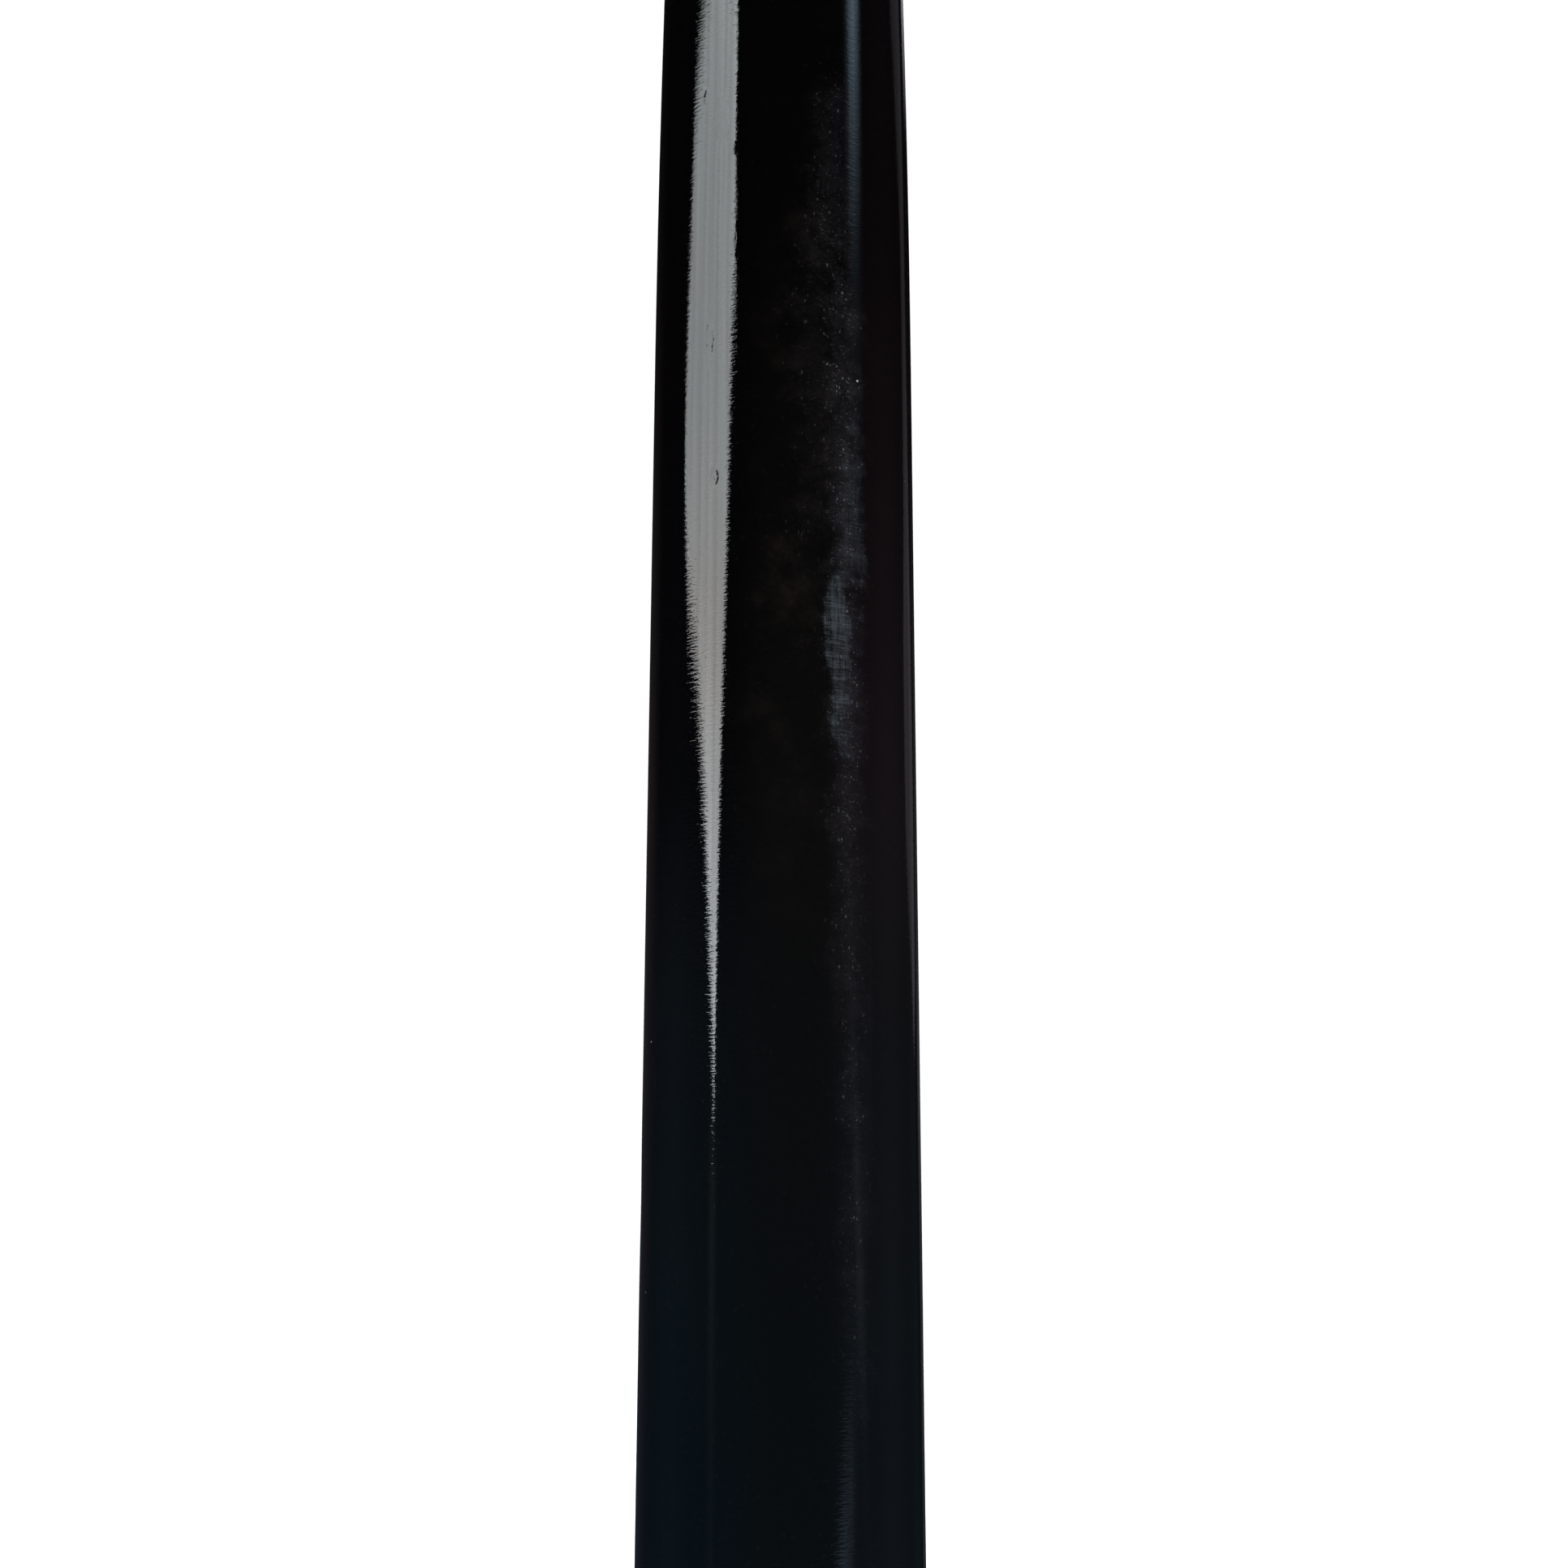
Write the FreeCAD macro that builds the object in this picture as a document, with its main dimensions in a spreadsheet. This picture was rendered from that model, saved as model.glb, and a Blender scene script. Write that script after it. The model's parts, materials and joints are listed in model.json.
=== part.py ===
import FreeCAD, Part
import math
import os
import Sketcher

# A one-piece hollow alloy baseball bat, standing on its end cap.
# +Z runs along the bat's axis from the end cap up to the knob.
# The origin is the middle of the circle that the end cap stands on.
# Lengths are millimetres, angles are degrees.

DIMENSIONS = {
    # the bat's outside
    "bat_length": 864.0,
    "barrel_radius": 28.575,
    "barrel_straight_end": 300.0,
    "barrel_ease_radius": 6400.0,
    "barrel_ease_end": 395.0,
    "shoulder_radius": 1500.0,
    "neck_radius": 900.0,
    "handle_start": 664.0,
    "handle_radius": 11.2,
    "handle_end": 846.0,
    # the tube's wall and the round on its open end
    "barrel_wall": 2.35,
    "handle_wall": 2.1,
    "tube_edge_round": 0.6,
    # moulded end cap
    "cap_height": 7.0,
    "cap_radius": 28.2,
    "cap_edge_round": 2.6,
    "cap_rest_inner": 20.5,
    "cap_dish_radius": 17.0,
    "cap_dish_depth": 2.6,
    "cap_floor": 3.8,
    "cap_step_radius": 9.0,
    "cap_step_depth": 0.5,
    "cap_skirt_wall": 2.5,
    "cap_skirt_top": 25.0,
    "cap_lip_height": 1.8,
    "cap_bond_depth": 1.2,
    "cap_hub_radius": 5.0,
    "cap_hub_top": 16.0,
    "cap_rib_count": 6,
    "cap_rib_width": 2.0,
    "cap_rib_top": 14.0,
    "cap_rib_root": 0.5,
    # foam damper in the handle's bore
    "damper_bottom": 700.0,
    "damper_top": 770.0,
    "damper_hole_radius": 2.0,
    # welded knob
    "knob_radius": 23.5,
    "knob_rim_round": 5.0,
    "knob_neck_radius": 12.4,
    "knob_spigot": 14.0,
    "knob_core_radius": 6.2,
    "knob_core_top": 850.5,
    "knob_vent_radius": 3.0,
    "knob_recess_radius": 14.2,
    "knob_recess_depth": 0.9,
    "plug_head_radius": 5.2,
    "plug_head_height": 1.6,
    "plug_stem": 9.0,
    "badge_gap": 0.15,
    "badge_thickness": 0.7,
    "badge_edge_round": 0.2,
    # grip
    "grip_bottom": 595.0,
    "tape_thickness": 0.25,
    "wrap_thickness": 1.6,
    "finish_bottom": 586.0,
    "finish_top": 608.0,
    "finish_thickness": 0.3,
}
SHEET_NAME = "Dimensions"
FULL_TURN = 360.0


class Size:
    """A length held twice: as a number, and as the sheet expression that drives it."""

    def __init__(self, value, text):
        self.value = value
        self.text = text

    def __add__(self, other):
        return Size(self.value + other.value, f"({self.text} + {other.text})")

    def __sub__(self, other):
        return Size(self.value - other.value, f"({self.text} - {other.text})")


ZERO = Size(0.0, "0")


def make_sheet(doc):
    """Write every driving dimension in a row of its own, with its name as the cell's alias."""
    sheet = doc.addObject("Spreadsheet::Sheet", SHEET_NAME)
    for row, (alias, value) in enumerate(DIMENSIONS.items(), start=1):
        sheet.set(f"A{row}", alias)
        sheet.set(f"B{row}", str(value))
        sheet.setAlias(f"B{row}", alias)
    doc.recompute()
    return sheet


def size(alias):
    return Size(float(DIMENSIONS[alias]), f"{SHEET_NAME}.{alias}")


# ---------------------------------------------------------------- sketch helpers

def add_body(doc, name):
    body = doc.addObject("PartDesign::Body", name)
    body.Label = name
    return body


def origin_feature(body, role):
    return next(item for item in body.Origin.OriginFeatures if item.Role == role)


def add_sketch(body, name, plane="XZ_Plane"):
    sketch = body.newObject("Sketcher::SketchObject", name)
    sketch.AttachmentSupport = (origin_feature(body, plane), [""])
    sketch.MapMode = "FlatFace"
    return sketch


def drive(sketch, kind, *where, length):
    """Add a constraint whose length follows the sheet."""
    index = sketch.addConstraint(Sketcher.Constraint(kind, *where, length.value))
    sketch.setExpression(f"Constraints[{index}]", length.text)


def place_point(sketch, edge, end, radius, height):
    """Fix one end of an edge at a radius from the axis and a height above the floor."""
    if radius is ZERO:
        sketch.addConstraint(Sketcher.Constraint("PointOnObject", edge, end, -2))
    else:
        drive(sketch, "DistanceX", -1, 1, edge, end, length=radius)
    if height is ZERO:
        sketch.addConstraint(Sketcher.Constraint("PointOnObject", edge, end, -1))
    else:
        drive(sketch, "DistanceY", -1, 1, edge, end, length=height)


def vector(radius, height):
    return FreeCAD.Vector(radius, height, 0)


def add_line(sketch, start, end):
    return sketch.addGeometry(Part.LineSegment(vector(*start), vector(*end)), False)


def add_arc(sketch, centre, radius, first, last):
    """Add an arc that runs anticlockwise from the first angle to the last."""
    circle = Part.Circle(vector(*centre), FreeCAD.Vector(0, 0, 1), radius)
    return sketch.addGeometry(Part.ArcOfCircle(circle, first, last), False)


def join(sketch, first, first_end, second, second_end, smooth=False):
    kind = "Tangent" if smooth else "Coincident"
    sketch.addConstraint(Sketcher.Constraint(kind, first, first_end, second, second_end))


def polygon(sketch, corners):
    """Draw a closed outline of straight edges through (radius, height) corners."""
    points = [(radius.value, height.value) for radius, height in corners]
    edges = [
        add_line(sketch, point, points[(index + 1) % len(points)])
        for index, point in enumerate(points)
    ]
    for edge, following in zip(edges, edges[1:] + edges[:1]):
        join(sketch, edge, 2, following, 1)
    for edge, (radius, height) in zip(edges, corners):
        place_point(sketch, edge, 1, radius, height)


def revolve(body, sketch, name, kind="PartDesign::Revolution"):
    feature = body.newObject(kind, name)
    feature.Profile = sketch
    feature.ReferenceAxis = (sketch, ["V_Axis"])
    feature.Angle = FULL_TURN
    return feature


def turned_body(doc, name, corners):
    """Make a body by turning one closed outline about the bat's axis."""
    body = add_body(doc, name)
    outline = add_sketch(body, f"{name}_outline")
    polygon(outline, corners)
    revolve(body, outline, f"{name}_turning")
    return body


def round_rims(body, name, base, rims, radius):
    """Fillet the circular edges of a turned feature that lie at (radius, height)."""
    body.Document.recompute()
    found = []
    for rim_radius, rim_height in rims:
        for index, edge in enumerate(base.Shape.Edges, start=1):
            if not isinstance(edge.Curve, Part.Circle):
                continue
            same_radius = math.isclose(edge.Curve.Radius, rim_radius.value, abs_tol=1e-4)
            same_height = math.isclose(edge.Curve.Center.z, rim_height.value, abs_tol=1e-4)
            if same_radius and same_height:
                found.append(f"Edge{index}")
    if len(found) != len(rims):
        raise RuntimeError(f"{name}: found {len(found)} of {len(rims)} rims")
    fillet = body.newObject("PartDesign::Fillet", name)
    fillet.Base = (base, found)
    fillet.setExpression("Radius", radius.text)
    return fillet


# ---------------------------------------------------------------- the tube

def swaged_outline(sketch, barrel_wall, handle_wall, bottom, top):
    """Half section of the bat, inset by a wall: barrel, easing, shoulder, cone, neck, handle.

    The easing is a very large arc that starts the taper. The shoulder is a smaller arc the
    same way, the neck bends back to the handle, and the cone is the straight line that
    touches both, so its slope follows from the other sizes.
    """
    barrel = size("barrel_radius") - barrel_wall
    handle = size("handle_radius") - handle_wall
    ease = size("barrel_ease_radius") - barrel_wall
    shoulder = size("shoulder_radius") - barrel_wall
    neck = size("neck_radius") + handle_wall
    ease_start = size("barrel_straight_end")
    ease_end = size("barrel_ease_end")
    neck_end = size("handle_start")

    ease_centre = (barrel.value - ease.value, ease_start.value)
    ease_turn = math.asin((ease_end.value - ease_start.value) / ease.value)
    along = (math.cos(ease_turn), math.sin(ease_turn))
    centre_shift = ease.value - shoulder.value
    shoulder_centre = tuple(
        centre + centre_shift * part for centre, part in zip(ease_centre, along)
    )
    neck_centre = (handle.value + neck.value, neck_end.value)
    apart = [far - near for near, far in zip(shoulder_centre, neck_centre)]
    reach = (shoulder.value + neck.value) / math.hypot(*apart)
    cone_turn = math.atan2(apart[1], apart[0]) - math.acos(reach)
    normal = (math.cos(cone_turn), math.sin(cone_turn))
    cone_start = [c + shoulder.value * n for c, n in zip(shoulder_centre, normal)]
    cone_end = [c - neck.value * n for c, n in zip(neck_centre, normal)]

    barrel_side = add_line(sketch, (barrel.value, bottom.value), (barrel.value, ease_start.value))
    ease_side = add_arc(sketch, ease_centre, ease.value, 0.0, ease_turn)
    shoulder_side = add_arc(sketch, shoulder_centre, shoulder.value, ease_turn, cone_turn)
    cone_side = add_line(sketch, cone_start, cone_end)
    neck_side = add_arc(sketch, neck_centre, neck.value, math.pi, math.pi + cone_turn)
    handle_side = add_line(sketch, (handle.value, neck_end.value), (handle.value, top.value))
    top_edge = add_line(sketch, (handle.value, top.value), (0.0, top.value))
    axis_edge = add_line(sketch, (0.0, top.value), (0.0, bottom.value))
    bottom_edge = add_line(sketch, (0.0, bottom.value), (barrel.value, bottom.value))

    join(sketch, barrel_side, 2, ease_side, 1, smooth=True)
    join(sketch, ease_side, 2, shoulder_side, 1, smooth=True)
    join(sketch, shoulder_side, 2, cone_side, 1, smooth=True)
    join(sketch, cone_side, 2, neck_side, 2, smooth=True)
    join(sketch, neck_side, 1, handle_side, 1, smooth=True)
    join(sketch, handle_side, 2, top_edge, 1)
    join(sketch, top_edge, 2, axis_edge, 1)
    join(sketch, axis_edge, 2, bottom_edge, 1)
    join(sketch, bottom_edge, 2, barrel_side, 1)
    sketch.addConstraint(Sketcher.Constraint("Vertical", barrel_side))
    sketch.addConstraint(Sketcher.Constraint("Vertical", handle_side))
    place_point(sketch, barrel_side, 1, barrel, bottom)
    place_point(sketch, handle_side, 2, handle, top)
    place_point(sketch, axis_edge, 1, ZERO, top)
    place_point(sketch, axis_edge, 2, ZERO, bottom)
    drive(sketch, "DistanceY", -1, 1, barrel_side, 2, length=ease_start)
    drive(sketch, "DistanceY", -1, 1, ease_side, 2, length=ease_end)
    drive(sketch, "DistanceY", -1, 1, handle_side, 1, length=neck_end)
    drive(sketch, "Radius", ease_side, length=ease)
    drive(sketch, "Radius", shoulder_side, length=shoulder)
    drive(sketch, "Radius", neck_side, length=neck)


def make_bat_tube(doc):
    """Drawn and swaged alloy tube: solid outside, then the bore cut right through it."""
    body = add_body(doc, "bat_tube")
    start = size("cap_height")
    end = size("handle_end")
    outside = add_sketch(body, "tube_outside")
    swaged_outline(outside, ZERO, ZERO, start, end)
    turning = revolve(body, outside, "tube_turning")
    bore = add_sketch(body, "tube_bore")
    swaged_outline(bore, size("barrel_wall"), size("handle_wall"), start, end)
    boring = revolve(body, bore, "tube_boring", "PartDesign::Groove")
    doc.recompute()
    if not boring.Shape.Volume < turning.Shape.Volume:
        raise RuntimeError("bat_tube: the bore removes nothing")
    outer_end = [(size("barrel_radius"), start)]
    round_rims(body, "tube_end_round", boring, outer_end, size("tube_edge_round"))


# ---------------------------------------------------------------- the end cap

def cap_skirt_radius():
    return size("barrel_radius") - size("barrel_wall") - size("cap_bond_depth")


def bond_span():
    """Heights between the skirt's two lips, where the adhesive lies."""
    return (
        size("cap_height") + size("cap_lip_height"),
        size("cap_skirt_top") - size("cap_lip_height"),
    )


def make_end_cap(doc):
    """Moulded cap: rim and dished face outside, lipped skirt, hub and ribs inside."""
    bore = size("barrel_radius") - size("barrel_wall")
    skirt = cap_skirt_radius()
    inside = skirt - size("cap_skirt_wall")
    bond_low, bond_high = bond_span()
    dish = size("cap_dish_depth")
    floor_top = dish + size("cap_floor")
    body = turned_body(doc, "end_cap", [
        (ZERO, dish + size("cap_step_depth")),
        (size("cap_step_radius"), dish + size("cap_step_depth")),
        (size("cap_step_radius"), dish),
        (size("cap_dish_radius"), dish),
        (size("cap_rest_inner"), ZERO),
        (size("cap_radius"), ZERO),
        (size("cap_radius"), size("cap_height")),
        (bore, size("cap_height")),
        (bore, bond_low),
        (skirt, bond_low),
        (skirt, bond_high),
        (bore, bond_high),
        (bore, size("cap_skirt_top")),
        (inside, size("cap_skirt_top")),
        (inside, floor_top),
        (size("cap_hub_radius"), floor_top),
        (size("cap_hub_radius"), size("cap_hub_top")),
        (ZERO, size("cap_hub_top")),
    ])
    outer_edge = [(size("cap_radius"), ZERO)]
    base = round_rims(body, "cap_edge_round", body.Tip, outer_edge, size("cap_edge_round"))

    rib_outline = add_sketch(body, "cap_rib_outline")
    root = size("cap_rib_root")
    polygon(rib_outline, [
        (size("cap_hub_radius") - root, floor_top - root),
        (inside + root, floor_top - root),
        (inside + root, size("cap_rib_top")),
        (size("cap_hub_radius") - root, size("cap_rib_top")),
    ])
    rib = body.newObject("PartDesign::Pad", "cap_rib")
    rib.Profile = rib_outline
    rib.SideType = "Symmetric"
    rib.setExpression("Length", size("cap_rib_width").text)
    doc.recompute()
    if not rib.Shape.Volume > base.Shape.Volume:
        raise RuntimeError("end_cap: the rib adds nothing")
    ribs = body.newObject("PartDesign::PolarPattern", "cap_ribs")
    ribs.Originals = [rib]
    ribs.Axis = (origin_feature(body, "Z_Axis"), [""])
    ribs.Angle = FULL_TURN
    ribs.setExpression("Occurrences", size("cap_rib_count").text)
    body.Tip = ribs


def make_cap_bond(doc):
    """Ring of adhesive between the cap's two lips and the tube's bore."""
    bore = size("barrel_radius") - size("barrel_wall")
    low, high = bond_span()
    turned_body(doc, "cap_bond", [
        (cap_skirt_radius(), low), (bore, low), (bore, high), (cap_skirt_radius(), high),
    ])


# ---------------------------------------------------------------- inside the handle

def handle_bore():
    return size("handle_radius") - size("handle_wall")


def make_handle_damper(doc):
    """Foam rod pushed into the handle's bore, with a hole that lets the air past."""
    hole = size("damper_hole_radius")
    low = size("damper_bottom")
    high = size("damper_top")
    turned_body(doc, "handle_damper", [
        (hole, low), (handle_bore(), low), (handle_bore(), high), (hole, high),
    ])


# ---------------------------------------------------------------- the knob

def knob_recess_floor():
    return size("bat_length") - size("knob_recess_depth")


def plug_seat():
    return knob_recess_floor() - size("plug_head_height")


def make_knob(doc):
    """Turned knob with a hollow spigot, a vent through it and a recess for the badge.

    The flare leaves the handle along the axis and touches the round rim, so its radius
    follows from the knob's height, its rim and its two radii.
    """
    body = add_body(doc, "knob")
    sketch = add_sketch(body, "knob_outline")
    seat = size("handle_end")
    top = size("bat_length")
    rim = size("knob_rim_round")
    neck = size("knob_neck_radius")
    rim_centre = (size("knob_radius").value - rim.value, top.value - rim.value)
    lean = neck.value - rim_centre[0]
    rise = rim_centre[1] - seat.value
    flare = (lean ** 2 + rise ** 2 - rim.value ** 2) / (2 * (rim.value - lean))
    flare_centre = (neck.value + flare, seat.value)
    to_rim = math.atan2(rise, rim_centre[0] - flare_centre[0])

    corners = [
        (size("knob_recess_radius"), top),
        (size("knob_recess_radius"), knob_recess_floor()),
        (size("plug_head_radius"), knob_recess_floor()),
        (size("plug_head_radius"), plug_seat()),
        (size("knob_vent_radius"), plug_seat()),
        (size("knob_vent_radius"), size("knob_core_top")),
        (size("knob_core_radius"), size("knob_core_top")),
        (size("knob_core_radius"), seat - size("knob_spigot")),
        (handle_bore(), seat - size("knob_spigot")),
        (handle_bore(), seat),
        (neck, seat),
    ]
    points = [(radius.value, height.value) for radius, height in corners]
    edges = [add_line(sketch, start, end) for start, end in zip(points, points[1:])]
    flare_side = add_arc(sketch, flare_centre, flare, to_rim, math.pi)
    rim_side = add_arc(sketch, rim_centre, rim.value, to_rim - math.pi, math.pi / 2)
    face = add_line(sketch, (rim_centre[0], top.value), points[0])
    for edge, following in zip(edges, edges[1:]):
        join(sketch, edge, 2, following, 1)
    join(sketch, edges[-1], 2, flare_side, 2)
    join(sketch, flare_side, 1, rim_side, 1, smooth=True)
    join(sketch, rim_side, 2, face, 1, smooth=True)
    join(sketch, face, 2, edges[0], 1)
    for edge, (radius, height) in zip(edges, corners):
        place_point(sketch, edge, 1, radius, height)
    place_point(sketch, edges[-1], 2, *corners[-1])
    sketch.addConstraint(Sketcher.Constraint("Horizontal", face))
    drive(sketch, "DistanceY", -1, 1, flare_side, 3, length=seat)
    drive(sketch, "Radius", rim_side, length=rim)
    drive(sketch, "DistanceX", -1, 1, rim_side, 3, length=size("knob_radius") - rim)
    revolve(body, sketch, "knob_turning")


def make_knob_weld(doc):
    """Small fillet weld that closes the corner between the tube's end and the knob."""
    leg = size("knob_neck_radius") - size("handle_radius")
    seat = size("handle_end")
    turned_body(doc, "knob_weld", [
        (size("handle_radius"), seat - leg),
        (size("knob_neck_radius"), seat),
        (size("handle_radius"), seat),
    ])


def make_knob_plug(doc):
    """Rubber plug that closes the knob's vent, with its head in the counterbore."""
    turned_body(doc, "knob_plug", [
        (ZERO, plug_seat() - size("plug_stem")),
        (size("knob_vent_radius"), plug_seat() - size("plug_stem")),
        (size("knob_vent_radius"), plug_seat()),
        (size("plug_head_radius"), plug_seat()),
        (size("plug_head_radius"), knob_recess_floor()),
        (ZERO, knob_recess_floor()),
    ])


def make_knob_badge(doc):
    """Plain disc that lies in the recess and hides the plug."""
    edge = size("knob_recess_radius") - size("badge_gap")
    face = knob_recess_floor() + size("badge_thickness")
    body = turned_body(doc, "knob_badge", [
        (ZERO, knob_recess_floor()), (edge, knob_recess_floor()), (edge, face), (ZERO, face),
    ])
    round_rims(body, "badge_round", body.Tip, [(edge, face)], size("badge_edge_round"))


# ---------------------------------------------------------------- the grip

def neck_point(offset, height):
    """Radius at a height on the neck's arc, moved out from the tube by an offset."""
    centre_radius = size("handle_radius").value + size("neck_radius").value
    arc = size("neck_radius").value - offset.value
    drop = size("handle_start").value - height.value
    return centre_radius - math.sqrt(arc ** 2 - drop ** 2)


def neck_arc(sketch, offset, low, high):
    """Arc that follows the neck at an offset, between two heights below the handle."""
    centre = (size("handle_radius") + size("neck_radius")).value, size("handle_start").value
    arc = (size("neck_radius") - offset).value
    angles = [
        math.pi + math.asin((size("handle_start") - height).value / arc)
        for height in (high, low)
    ]
    edge = add_arc(sketch, centre, arc, *angles)
    drive(sketch, "Radius", edge, length=size("neck_radius") - offset)
    drive(sketch, "DistanceX", -1, 1, edge, 3,
          length=size("handle_radius") + size("neck_radius"))
    drive(sketch, "DistanceY", -1, 1, edge, 3, length=size("handle_start"))
    return edge


def make_sleeve(doc, name, inner, outer):
    """Sleeve round the neck and handle, from one offset above the tube to another."""
    body = add_body(doc, name)
    sketch = add_sketch(body, f"{name}_outline")
    low = size("grip_bottom")
    bend = size("handle_start")
    high = size("handle_end") - size("knob_neck_radius") + size("handle_radius")
    inside = size("handle_radius") + inner
    outside = size("handle_radius") + outer
    inner_arc = neck_arc(sketch, inner, low, bend)
    outer_arc = neck_arc(sketch, outer, low, bend)
    inner_side = add_line(sketch, (inside.value, bend.value), (inside.value, high.value))
    top_edge = add_line(sketch, (inside.value, high.value), (outside.value, high.value))
    outer_side = add_line(sketch, (outside.value, high.value), (outside.value, bend.value))
    bottom_edge = add_line(
        sketch, (neck_point(outer, low), low.value), (neck_point(inner, low), low.value)
    )
    join(sketch, inner_arc, 1, inner_side, 1)
    join(sketch, inner_side, 2, top_edge, 1)
    join(sketch, top_edge, 2, outer_side, 1)
    join(sketch, outer_side, 2, outer_arc, 1)
    join(sketch, outer_arc, 2, bottom_edge, 1)
    join(sketch, bottom_edge, 2, inner_arc, 2)
    for edge in (inner_side, outer_side):
        sketch.addConstraint(Sketcher.Constraint("Vertical", edge))
    for edge in (top_edge, bottom_edge):
        sketch.addConstraint(Sketcher.Constraint("Horizontal", edge))
    drive(sketch, "DistanceY", -1, 1, inner_side, 1, length=bend)
    drive(sketch, "DistanceY", -1, 1, outer_side, 2, length=bend)
    drive(sketch, "DistanceY", -1, 1, inner_side, 2, length=high)
    drive(sketch, "DistanceY", -1, 1, bottom_edge, 1, length=low)
    revolve(body, sketch, f"{name}_turning")


def make_finish_tape(doc):
    """Tape band that starts on the bare tube and climbs over the wrap's end."""
    body = add_body(doc, "grip_finish_tape")
    sketch = add_sketch(body, "finish_outline")
    low = size("finish_bottom")
    step = size("grip_bottom")
    high = size("finish_top")
    under = size("tape_thickness") + size("wrap_thickness")
    over = under + size("finish_thickness")
    on_tube = neck_arc(sketch, ZERO, low, step)
    on_wrap = neck_arc(sketch, under, step, high)
    outside = neck_arc(sketch, over, step, high)
    foot = low + size("finish_thickness")
    lip = neck_arc(sketch, size("finish_thickness"), low, foot)
    step_edge = add_line(
        sketch, (neck_point(ZERO, step), step.value), (neck_point(under, step), step.value)
    )
    top_edge = add_line(
        sketch, (neck_point(under, high), high.value), (neck_point(over, high), high.value)
    )
    slope = add_line(
        sketch,
        (neck_point(over, step), step.value),
        (neck_point(size("finish_thickness"), foot), foot.value),
    )
    foot_edge = add_line(
        sketch,
        (neck_point(size("finish_thickness"), low), low.value),
        (neck_point(ZERO, low), low.value),
    )
    join(sketch, on_tube, 1, step_edge, 1)
    join(sketch, step_edge, 2, on_wrap, 2)
    join(sketch, on_wrap, 1, top_edge, 1)
    join(sketch, top_edge, 2, outside, 1)
    join(sketch, outside, 2, slope, 1)
    join(sketch, slope, 2, lip, 1)
    join(sketch, lip, 2, foot_edge, 1)
    join(sketch, foot_edge, 2, on_tube, 2)
    for edge in (step_edge, top_edge, foot_edge):
        sketch.addConstraint(Sketcher.Constraint("Horizontal", edge))
    drive(sketch, "DistanceY", -1, 1, step_edge, 1, length=step)
    drive(sketch, "DistanceY", -1, 1, top_edge, 1, length=high)
    drive(sketch, "DistanceY", -1, 1, slope, 1, length=step)
    drive(sketch, "DistanceY", -1, 1, slope, 2, length=foot)
    drive(sketch, "DistanceY", -1, 1, foot_edge, 1, length=low)
    revolve(body, sketch, "finish_turning")


def make_grip(doc):
    tape = size("tape_thickness")
    make_sleeve(doc, "grip_backing_tape", ZERO, tape)
    make_sleeve(doc, "grip_wrap", tape, tape + size("wrap_thickness"))
    make_finish_tape(doc)


# ---------------------------------------------------------------- the whole bat

def check_and_export(doc):
    """Stop on any failed object, then write each body's solid to a file of its own."""
    doc.recompute()
    for item in doc.Objects:
        if "Invalid" in item.State or "Error" in item.State:
            raise RuntimeError(f"{item.Label} failed: {item.State}")
    bodies = [item for item in doc.Objects if item.TypeId == "PartDesign::Body"]
    for body in bodies:
        shape = body.Shape
        if shape.isNull() or not shape.isValid() or len(shape.Solids) != 1:
            raise RuntimeError(f"{body.Label} isn't one valid solid")
    os.makedirs("parts", exist_ok=True)
    for body in bodies:
        body.Shape.exportStep(f"parts/{body.Label}.step")
        box = body.Shape.optimalBoundingBox()
        print(f"{body.Label}: {body.Shape.Volume:.0f} mm3, z {box.ZMin:.2f} to {box.ZMax:.2f}")


def main():
    doc = FreeCAD.newDocument("baseball_bat")
    make_sheet(doc)
    make_bat_tube(doc)
    make_end_cap(doc)
    make_cap_bond(doc)
    make_handle_damper(doc)
    make_knob(doc)
    make_knob_weld(doc)
    make_knob_plug(doc)
    make_knob_badge(doc)
    make_grip(doc)
    check_and_export(doc)


main()
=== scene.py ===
import json
import math

import bpy
from mathutils import Matrix, Vector, noise


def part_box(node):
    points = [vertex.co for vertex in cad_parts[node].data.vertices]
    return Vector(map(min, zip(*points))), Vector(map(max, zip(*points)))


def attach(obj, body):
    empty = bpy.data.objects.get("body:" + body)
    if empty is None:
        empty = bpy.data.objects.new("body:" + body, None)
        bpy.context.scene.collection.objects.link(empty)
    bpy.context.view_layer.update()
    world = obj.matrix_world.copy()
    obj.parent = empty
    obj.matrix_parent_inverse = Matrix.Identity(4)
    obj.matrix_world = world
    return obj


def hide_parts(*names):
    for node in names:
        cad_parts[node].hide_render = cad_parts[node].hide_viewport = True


# A plain gloss-black alloy baseball bat that stands on its end cap, seen close to the barrel.
# Lengths are metres. Angles in tables and in the shaders are degrees, and the ones that the
# mesh functions pass on are radians.

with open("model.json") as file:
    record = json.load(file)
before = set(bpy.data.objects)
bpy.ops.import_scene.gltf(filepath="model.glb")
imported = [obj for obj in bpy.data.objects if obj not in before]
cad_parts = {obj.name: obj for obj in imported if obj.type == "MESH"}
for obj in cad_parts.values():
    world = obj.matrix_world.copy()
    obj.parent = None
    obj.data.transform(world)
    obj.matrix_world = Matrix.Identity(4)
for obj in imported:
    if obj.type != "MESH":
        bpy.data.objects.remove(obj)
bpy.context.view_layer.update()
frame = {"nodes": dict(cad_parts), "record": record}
record = frame["record"]
nodes = frame["nodes"]
MM = 0.001


# ---------------------------------------------------------------- sizes from the frame

def node_radius(node):
    """Half the width of a CAD node, which is its outer radius."""
    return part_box(node)[1].y


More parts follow.
